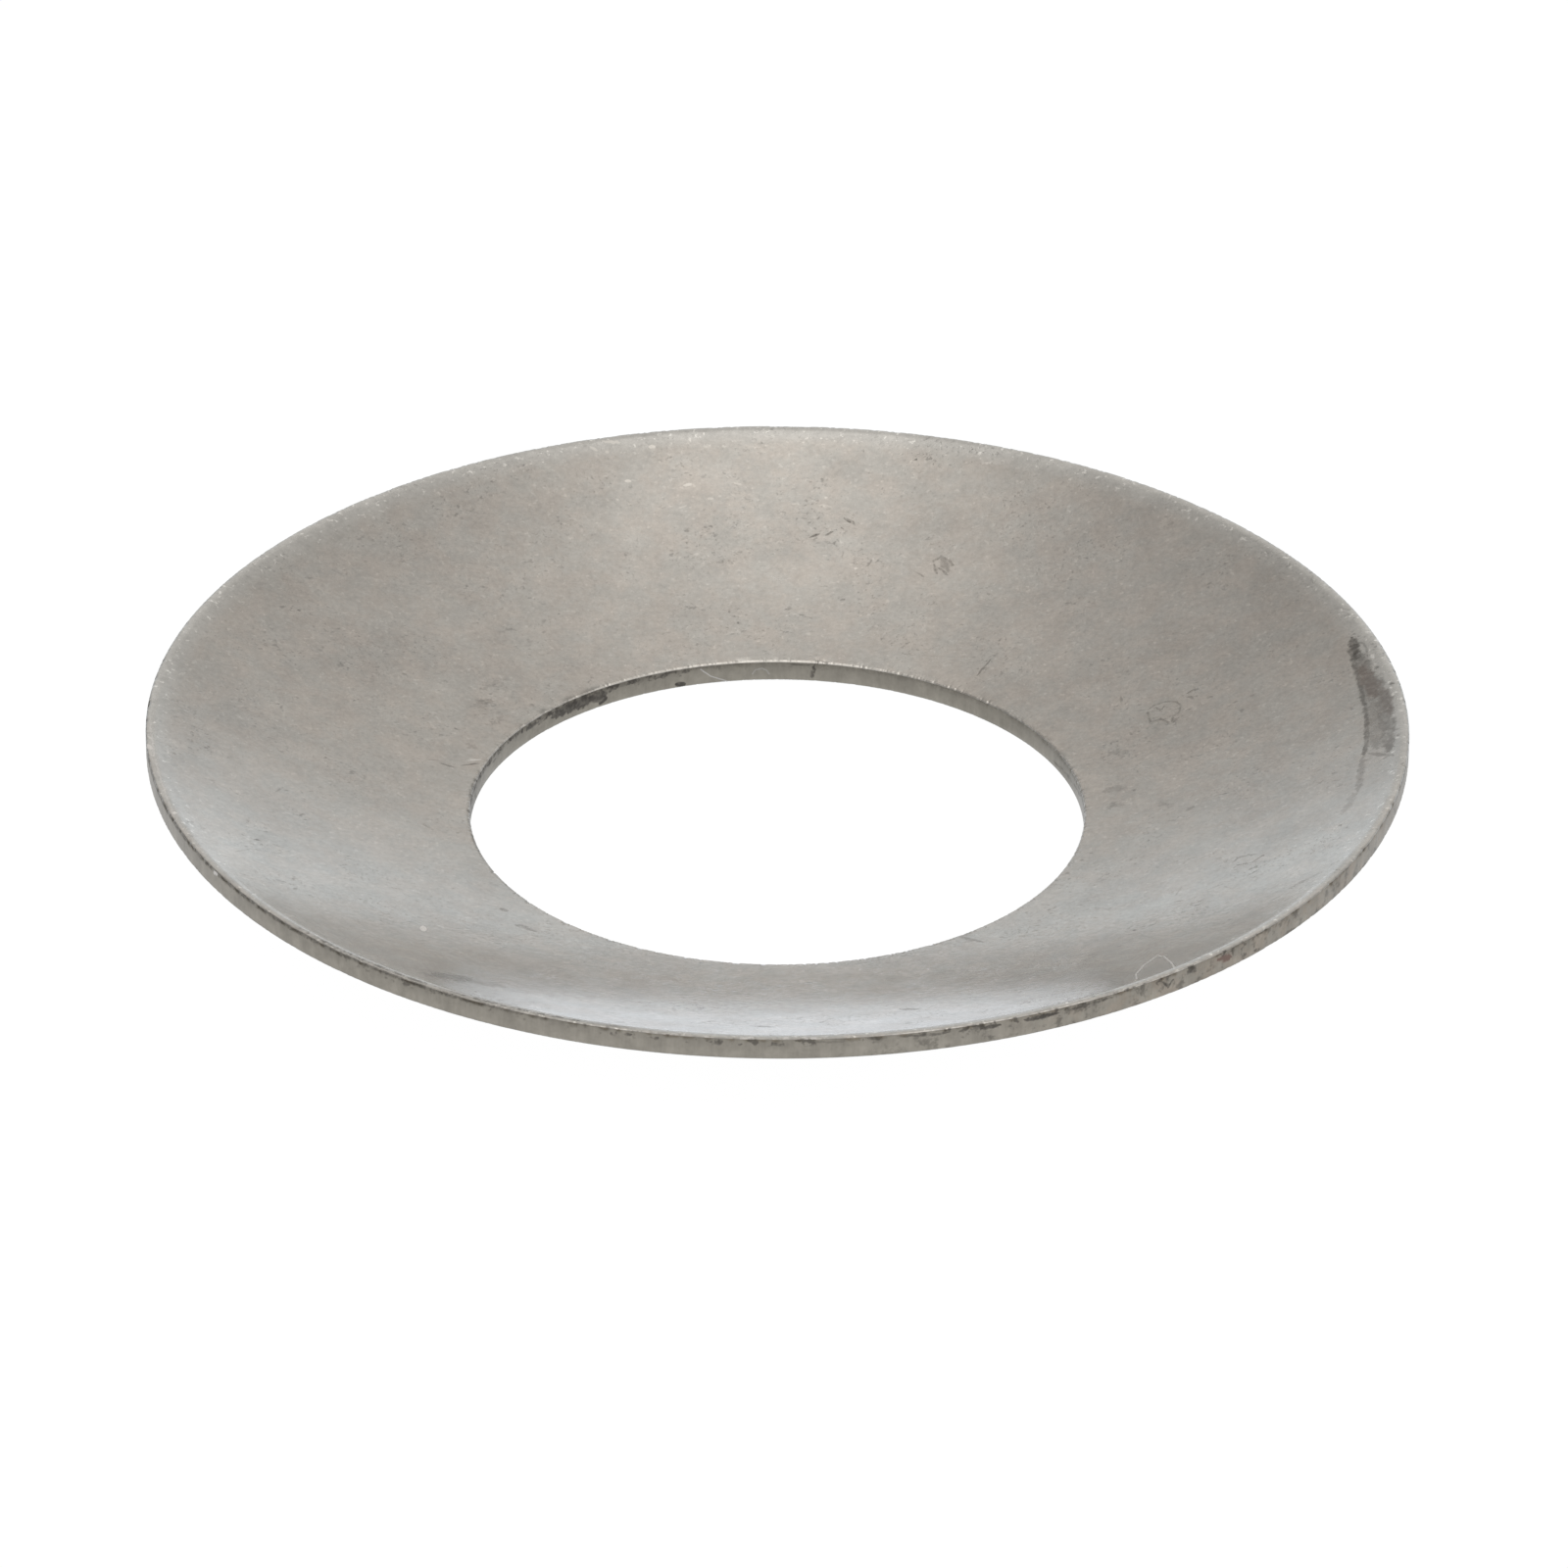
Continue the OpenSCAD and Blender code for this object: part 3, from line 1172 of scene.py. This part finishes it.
@dataclass(frozen=True)
class EdgeFinish:
    """The edges: dark ragged lines that blanking and piercing left, by the rim partly painted shade under and
    inside its burred lip and a painted dark reflection at its front, and lips of bare bright metal that are
    partly painted highlights.

    A lift is the least share of something and what it gains. Drops are millimetres above an upper edge,
    bands are millimetres out from the rim or the bore, and depths are millimetres into the sheet
    from the hollow face.
    """

    ragged: Grain = Grain(4.5, 3.0, 0.75, sway=0.22)
    rim_breaks: Span = (0.42, 0.62)
    breaks: Span = (0.44, 0.6)
    rim_drop: Span = (-0.12, -0.04)
    rim_lift: Span = (0.14, 0.42)
    hung: Patches = Patches(Grain(2.6, 2.0, 0.7), 0.56, 0.66, 0.6)
    hung_drop: Span = (-0.3, -0.16)
    line_bands: tuple[Span, Span] = ((-0.3, -0.18), (-0.05, -0.12))
    line_depth: Span = (0.5, 0.3)
    line_lift: Span = (0.15, 0.45)
    front_top: float = 0.3
    torn: Grain = Grain(2.4, 3.0, 0.7, sway=0.9)
    bore_drop: Span = (-0.26, -0.2)
    bore_lift: Span = (0.1, 0.42)
    bore_break_lift: Span = (0.45, 1.2)
    bore_band: Span = (0.17, 0.07)
    bore_edge_lift: Span = (0.1, 0.4)
    bare: Patches = Patches(Grain(3.6, 3.0, 0.75), 0.42, 0.6)
    bare_lift: Span = (0.1, 0.75)
    broken_lift: Span = (0.2, 0.8)
    bare_bore_lift: Span = (0.65, 0.35)
    sparks: Patches = Patches(Grain(2.4, 2.0, 0.65), 0.57, 0.65)
    spark_top: float = 0.9

    def burr_and_shade(self, point: SteelPoint, washer: PressedWasher) -> Signal:
        """Dark ragged lines by the upper edges of the rim and the bore; by the rim they are partly painted
        shade and a painted dark reflection.
        """
        ragged = point.sheet.noise(point.place, self.ragged)
        return self.rim_burr_and_shade(point, washer, ragged).at_least(self.bore_burr(point, washer, ragged))

    def rim_burr_and_shade(self, point: SteelPoint, washer: PressedWasher, ragged: Signal) -> Signal:
        """Line by the rim's upper edge: the dark burred lip with painted shade under it at the left, and
        painted shade inside it at the front left.

        At the very front the edge itself is dark, a painted dark reflection, and specks of dirt hang under
        it.

        Args:
            point: The point on the steel.
            washer: The washer.
            ragged: Noise that breaks the line.

        Returns:
            The strength of the line.
        """
        rim, top = washer.rim_r / MM, washer.rim_wall_top / MM
        torn = point.height + (ragged - 0.5) * self.ragged.sway
        # Dark burred lip and painted shade under it, on the top of the rim's wall
        under = torn.ramp(*off(top, self.rim_drop)) * point.within(Sector.BURR_UNDER_RIM)
        under = under * ragged.ramp(*self.rim_breaks).lift(*self.rim_lift)
        hung = torn.ramp(*off(top, self.hung_drop)) * point.within(Sector.DIRT_UNDER_RIM)
        hung = hung * point.sheet.patches(point.place, self.hung)
        # Painted shade inside the burred lip, on the hollow face at the front left
        line = point.from_dish.ramp(*off(washer.dish_r / MM, self.line_depth))
        for band in self.line_bands:
            line = line * point.from_axis.ramp(*off(rim, band))
        line = line * point.within(Sector.LINE_INSIDE_RIM) * ragged.ramp(*self.breaks).lift(*self.line_lift)
        # Painted dark reflection on the rim's edge at the very front
        front = point.lip * point.at_rim * point.within(Sector.DARK_FRONT, self.front_top)
        edge = point.wall.at_least(point.lip) * point.at_rim
        return (edge * under.at_least(hung)).at_least(line).at_least(front)

    def bore_burr(self, point: SteelPoint, washer: PressedWasher, ragged: Signal) -> Signal:
        """Line under the bore's upper edge, strongest at the back left, and on that edge at the left.

        Args:
            point: The point on the steel.
            washer: The washer.
            ragged: Noise that breaks the line.

        Returns:
            The strength of the line.
        """
        torn = point.height + point.sheet.swayed(point.place, self.torn)
        under = torn.ramp(*off(washer.bore_face_z / MM, self.bore_drop)) * point.wall
        under = under * point.within(Sector.BURR_UNDER_BORE).lift(*self.bore_lift)
        under = under * ragged.ramp(*self.breaks).lift(*self.bore_break_lift)
        on_edge = point.from_axis.ramp(*off(washer.bore_r / MM, self.bore_band))
        on_edge = on_edge * point.within(Sector.BURR_ON_BORE)
        on_edge = on_edge * ragged.ramp(*self.breaks).lift(*self.bore_edge_lift)
        return under.at_least(on_edge) * (1 - point.at_rim)

    def bared_and_highlit(self, point: SteelPoint) -> Signal:
        """Bright metal on the lips, partly bare metal and partly painted highlights: broken flecks, most
        right and left of the front and round the bore.

        Args:
            point: The point on the steel.

        Returns:
            The strength of the brightness.
        """
        flecks, at_bore = point.sheet.patches(point.place, self.bare), 1 - point.at_rim
        # Painted highlights with bare metal on the lips at the front left, the front right and the back of
        # the bore
        front = point.within(Sector.BARE_FRONT_LEFT).at_least(point.within(Sector.BARE_FRONT_RIGHT))
        share = front.at_least(at_bore).lift(*self.bare_lift) * flecks.lift(*self.broken_lift)
        sparks = point.sheet.patches(point.place, self.sparks) * point.within(Sector.SPARKS, self.spark_top)
        bored = point.within(Sector.BARE_BORE) * at_bore * flecks.lift(*self.bare_bore_lift)
        return point.lip * share.at_least(sparks * point.at_rim).at_least(bored)


@dataclass(frozen=True)
class SteelFinish:
    """Bare tumbled sheet steel: its faces, cut walls and edges, and the marks that the picture shows.

    Facings are shares of the normal that points away from the middle of the sheet, bands are millimetres
    from the rim or the middle of the sheet, and a lift is the least share of something and what it gains.
    """

    face: FaceFinish = FaceFinish()
    walls: WallFinish = WallFinish()
    edges: EdgeFinish = EdgeFinish()
    marks: tuple[Stroke, ...] = FACE_MARKS + STAIN_MARKS + RIM_MARKS + BORE_MARKS
    # Bright lips: bare metal, partly painted highlights
    burnished_and_highlight: Colour = (0.93, 0.905, 0.86)
    # Dark coat of dirt and pits, also the painted shade and dark reflection by the rim's edge
    grime: Colour = (0.088, 0.079, 0.070)
    rust: Colour = (0.17, 0.105, 0.085)
    # White of fluff, and also of a painted highlight inside the left of the rim
    lint: Colour = (0.95, 0.93, 0.91)
    back: Span = (-8.0, 4.0)
    middle_band: Span = (-1.0, 1.0)
    roll_band: Span = (-1.5, -1.0)
    roll_facings: tuple[Span, Span] = ((-0.4, -0.15), (0.5, 0.3))
    lip_facings: tuple[Span, Span] = ((0.3, 0.42), (0.97, 0.8))
    wall_facing: Span = (0.8, 0.97)
    fraying: Grain = Grain(3.5, 2.0, 0.7)
    fray_steps: tuple[float, ...] = (0.03, 0.1, 0.14, 0.2, 0.3, 0.5, 0.8, 1.3)
    broken: Patches = Patches(Grain(4.5, 2.0, 0.6), 0.34, 0.58)
    fine_width: float = 0.2
    fine_lift: Span = (0.3, 0.7)
    broad_lift: Span = (0.65, 0.35)
    roughness: float = 0.2
    rough_patch: Grain = Grain(0.7, 3.0, 0.65, sway=0.14)
    cut_roughness: float = 0.42
    grime_and_shade_roughness: float = 0.22
    lint_and_highlight_roughness: float = 0.3
    lip_roughness: float = 0.1
    roll_roughness: float = 0.12
    lint_and_highlight_cover: float = 0.85
    relief: Grain = Grain(3.2, 3.0, 0.75)
    relief_height: float = 0.003 * MM
    pit_depth: float = 1.2

    def look_at(self, sheet: NodeSheet, washer: PressedWasher) -> SteelPoint:
        """Reads where a point lies on the washer.

        Args:
            sheet: The material's sheet.
            washer: The washer.

        Returns:
            The point.
        """
        place = sheet.scaled(sheet.node("ShaderNodeTexCoord", {}, {}, "Object"), 1.0 / MM)
        wander = sheet.vector("SUBTRACT", sheet.noise(place, self.fraying, "Color"), (0.5, 0.5, 0.5))
        outward = sheet.node("ShaderNodeAttribute", {"attribute_name": OUTWARD}, {}, "Fac")
        across, along, height = sheet.parts(place)
        from_axis = sheet.length(sheet.vector("MULTIPLY", place, (1.0, 1.0, 0.0)))
        rim, bore = washer.rim_r / MM, washer.bore_r / MM
        rolled, lip = (outward.ramp(*a) * outward.ramp(*b) for a, b in (self.roll_facings, self.lip_facings))
        steps = {step: (step, step, step) for step in self.fray_steps}
        return SteelPoint(
            sheet=sheet,
            place=place,
            frayed={step: sheet.vector("MULTIPLY_ADD", wander, by, place) for step, by in steps.items()},
            behind=along.ramp(*self.back),
            rolled=rolled * from_axis.ramp(*off(rim, self.roll_band)),
            height=height,
            turn=along.turn_from(across) * math.degrees(1.0),
            from_axis=from_axis,
            from_dish=sheet.gap(place, (0.0, 0.0, washer.dish_centre_z / MM)),
            at_rim=from_axis.ramp(*off((rim + bore) / 2, self.middle_band)),
            wall=outward.ramp(*self.wall_facing),
            lip=lip,
        )

    def mark_masks(self, point: SteelPoint, washer: PressedWasher, camera: PhotoCamera) -> dict[Tone, Signal]:
        """Gathers the marks of each tone, the strongest where they overlap.

        Marks on a wall end at its edges, and fine dark marks are more broken than broad ones.

        Args:
            point: The point on the steel.
            washer: The washer.
            camera: The picture's camera.

        Returns:
            One mask for each tone.
        """
        broken = point.sheet.patches(point.place, self.broken)
        kept = {True: broken.lift(*self.fine_lift), False: broken.lift(*self.broad_lift)}
        masks: dict[Tone, Signal] = {}
        for tone, on_wall, fine in product(Tone, (True, False), (True, False)):
            heap: Signal | None = None
            for mark in self.marks:
                if (mark.tone, mark.zone in WALLS, mark.width < self.fine_width) == (tone, on_wall, fine):
                    mask = mark.mask(point, washer, camera)
                    heap = mask if heap is None else heap.at_least(mask)
            if heap is not None:
                heap = heap * (point.wall if on_wall else 1 - point.wall)
                heap = heap * kept[fine] if tone is Tone.DARK else heap
                masks[tone] = masks[tone].at_least(heap) if tone in masks else heap
        return masks

    def material(self, washer: PressedWasher, camera: PhotoCamera) -> bpy.types.Material:
        """Makes the steel.

        Args:
            washer: The washer, for its sizes.
            camera: The picture's camera, by which the marks are placed.

        Returns:
            The material.
        """
        made = bpy.data.materials.new("tumbled_steel")
        made.use_nodes = True
        sheet = NodeSheet(made.node_tree)
        point = self.look_at(sheet, washer)
        masks = self.mark_masks(point, washer, camera)
        pits = self.face.pits(point)
        # Dark marks, with the painted shade and dark reflection by the rim's edge
        dark = masks[Tone.DARK].at_least(self.edges.burr_and_shade(point, washer))
        face, walls = self.face.colour(point, washer, pits), self.walls.colour(point, washer)
        colour = sheet.blend(point.wall, face, walls)
        # Bright lips and flecks: bare metal and painted highlights
        colour = sheet.blend(self.edges.bared_and_highlit(point).at_least(masks[Tone.BRIGHT]), colour, self.burnished_and_highlight)
        # The dark coat paints dirt and pits, and also the painted shade and dark reflection by the rim's edge
        for share, coat in ((dark, self.grime), (masks[Tone.RUST], self.rust), (masks[Tone.PALE], self.lint)):
            colour = sheet.blend(share, colour, coat)
        rough = self.roughness + sheet.swayed(point.place, self.rough_patch) + dark * self.grime_and_shade_roughness
        rough = rough + masks[Tone.PALE] * self.lint_and_highlight_roughness
        rough = rough + point.wall * (self.cut_roughness - self.roughness)
        rough = rough + point.lip * self.lip_roughness + point.rolled * self.roll_roughness
        relief = sheet.noise(point.place, self.relief) - pits * self.pit_depth
        bump = {"Strength": 1.0, "Distance": self.relief_height, "Height": relief}
        surface = sheet.node(
            "ShaderNodeBsdfPrincipled",
            {},
            {
                "Base Color": colour,
                "Metallic": 1 - masks[Tone.PALE] * self.lint_and_highlight_cover,
                "Roughness": rough,
                "Normal": sheet.node("ShaderNodeBump", {}, bump),
            },
        )
        sheet.node("ShaderNodeOutputMaterial", {}, {"Surface": surface})
        return made


@dataclass(frozen=True)
class SoftBox:
    """A rectangular lamp with an even face that looks at the washer."""

    name: str
    centre: Point
    size: tuple[float, float]
    radiance: float
    colour: Colour = (1.0, 1.0, 1.0)

    def build(self) -> bpy.types.Object:
        """Hangs the lamp; its power is pi times its area times its radiance.

        Returns:
            The lamp.
        """
        data = bpy.data.lights.new(self.name, "AREA")
        data.shape = "RECTANGLE"
        data.size, data.size_y = self.size
        data.color = self.colour
        data.energy = math.pi * self.size[0] * self.size[1] * self.radiance
        made = bpy.data.objects.new(self.name, data)
        place = Vector(self.centre)
        made.matrix_world = Matrix.Translation(place) @ (-place).to_track_quat("-Z", "Y").to_matrix().to_4x4()
        bpy.context.collection.objects.link(made)
        return made


@dataclass(frozen=True)
class LightTent:
    """The pale surround: its brightness by height, darker sides, and brighter patches of roof and back."""

    levels: Sequence[Span] = (
        (0.0, 0.96), (0.1, 0.89), (0.2, 0.76), (0.35, 0.65), (0.5, 0.6), (0.7, 0.57), (1.0, 0.58),
    )
    low_tint: Colour = (0.965, 0.998, 1.02)
    high_tint: Colour = (1.045, 1.0, 0.945)
    tint_span: Span = (0.1, 0.55)
    side_loss: float = 0.4
    side_span: Span = (0.1, 0.75)
    lean: float = 0.2
    roof_gain: float = 0.36
    roof_span: Span = (0.66, 1.02)
    roof_half: Span = (0.35, 0.02)
    back_gain: float = 0.12
    back_low: Span = (0.25, 0.4)
    back_high: Span = (0.8, 0.65)
    back_half: Span = (0.13, 0.03)
    back_turn: Span = (0.0, 0.5)
    white: Colour = (1.0, 1.0, 1.0)

    def build(self) -> None:
        """Fills the world: plain white to the camera, and to everything else the tent."""
        world = bpy.data.worlds.new("light_tent")
        bpy.context.scene.world = world
        world.use_nodes = True
        sheet = NodeSheet(world.node_tree)
        aside, ahead, rise = sheet.parts(sheet.node("ShaderNodeTexCoord", {}, {}, "Generated"))
        stops = [(height, (level, level, level)) for height, level in self.levels]
        walls = sheet.node("ShaderNodeValToRGB", {"stops": stops}, {"Fac": rise})
        shade = (1 - abs(aside).ramp(*self.side_span, self.side_loss)) * (1 + aside * self.lean)
        tint = sheet.blend(rise.ramp(*self.tint_span), self.low_tint, self.high_tint)
        roof = rise.ramp(*self.roof_span) * abs(aside).ramp(*self.roof_half, self.roof_gain)
        back = rise.ramp(*self.back_low) * rise.ramp(*self.back_high) * ahead.ramp(*self.back_turn)
        back = back * abs(aside).ramp(*self.back_half, self.back_gain)
        tent = sheet.vector("ADD", sheet.scaled(walls, shade), sheet.scaled(self.white, roof + back))
        tent = sheet.vector("MULTIPLY", tent, tint)
        seen = sheet.node("ShaderNodeLightPath", {}, {}, Rays.CAMERA.value)
        shown = sheet.blend(seen, tent, self.white)
        light = sheet.node("ShaderNodeBackground", {}, {"Color": shown, "Strength": 1.0})
        sheet.node("ShaderNodeOutputWorld", {}, {"Surface": light})


@dataclass(frozen=True)
class WhiteFloor:
    """The floor under the washer."""

    half: float = 3.0
    paint: Colour = (0.9, 0.9, 0.9)
    seen_white: Colour = (1.0, 1.0, 1.0)
    mirrored_white: Colour = (0.945, 0.985, 1.04)
    shaded: Colour = (0.3, 0.3, 0.3)
    shade_in: Span = (10.8 * MM, 13 * MM)
    shade_out: Span = (26 * MM, 20 * MM)
    shadow_share: float = 0.07
    lift: float = 1.06

    def build(self) -> bpy.types.Object:
        """Lays the floor. Most of what is seen of it is plain white, and the lit share keeps the shadow.

        What the steel mirrors of it is shaded in the ring under the washer, where little light gets.

        Returns:
            The floor.
        """
        half = self.half
        mesh = bpy.data.meshes.new("floor")
        corners = [(-half, -half, 0), (half, -half, 0), (half, half, 0), (-half, half, 0)]
        mesh.from_pydata(corners, [], [(0, 1, 2, 3)])
        made = bpy.data.objects.new("floor", mesh)
        bpy.context.collection.objects.link(made)
        material = bpy.data.materials.new("white_floor")
        material.use_nodes = True
        sheet = NodeSheet(material.node_tree)
        seen = self._seen(sheet, Rays)
        lit = sheet.node("ShaderNodeBsdfDiffuse", {}, {"Color": (*self.paint, 1.0)})
        from_axis = sheet.length(sheet.node("ShaderNodeTexCoord", {}, {}, "Object"))
        under = from_axis.ramp(*self.shade_in) * from_axis.ramp(*self.shade_out)
        mirrored = sheet.blend(under, self.mirrored_white, self.shaded)
        white = sheet.blend(self._seen(sheet, (Rays.CAMERA,)), mirrored, self.seen_white)
        glow = sheet.node("ShaderNodeEmission", {}, {"Color": white, "Strength": self.lift})
        mixed = sheet.node("ShaderNodeMixShader", {}, {0: seen * (1 - self.shadow_share), 1: lit, 2: glow})
        sheet.node("ShaderNodeOutputMaterial", {}, {"Surface": mixed})
        mesh.materials.append(material)
        return made

    @staticmethod
    def _seen(sheet: NodeSheet, kinds: Iterable[Rays]) -> Signal:
        """1 for any of the kinds of ray, else 0."""
        seen: Term = 0.0
        for kind in kinds:
            seen = sheet.node("ShaderNodeLightPath", {}, {}, kind.value) + seen
        return seen.at_most(1.0)


@dataclass
class Studio:
    """White floor, pale surround and soft lamps."""

    floor: WhiteFloor = field(default_factory=WhiteFloor)
    tent: LightTent = field(default_factory=LightTent)
    boxes: Sequence[SoftBox] = (
        SoftBox("overhead_box", (0.0, 0.0, 0.5), (0.2, 0.2), 0.2),
        SoftBox("front_box", (0.08, -0.27, 0.44), (1.4, 0.24), 0.25),
    )

    def build(self) -> None:
        """Makes the floor, the surround and the lamps."""
        bpy.context.scene.view_settings.view_transform = "Standard"
        self.floor.build()
        self.tent.build()
        for box in self.boxes:
            box.build()


def washer_from_frame() -> PressedWasher:
    """Takes the rim from the node's box and the bore from the record's mount.

    Returns:
        The washer's sizes.
    """
    low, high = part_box(NODE_NAME)
    bore = next(mount for mount in frame["record"]["mounts"] if mount["kind"] == "bore")
    return PressedWasher(rim_r=(high[0] - low[0]) / 2, bore_r=bore["dims"]["r_mm"] * MM)


def main() -> None:
    """Builds the washer, dresses it and sets the studio round it."""
    logging.basicConfig(level=logging.INFO, format="%(name)s: %(message)s")
    camera = PhotoCamera()
    camera.build()
    washer = washer_from_frame()
    piece = washer.build()
    piece.data.materials.append(SteelFinish().material(washer, camera))
    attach(piece, BODY_NAME)
    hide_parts(NODE_NAME)
    LOG.info("%s: %d faces", piece.name, len(piece.data.polygons))
    Studio().build()


if __name__ == "__main__":
    main()
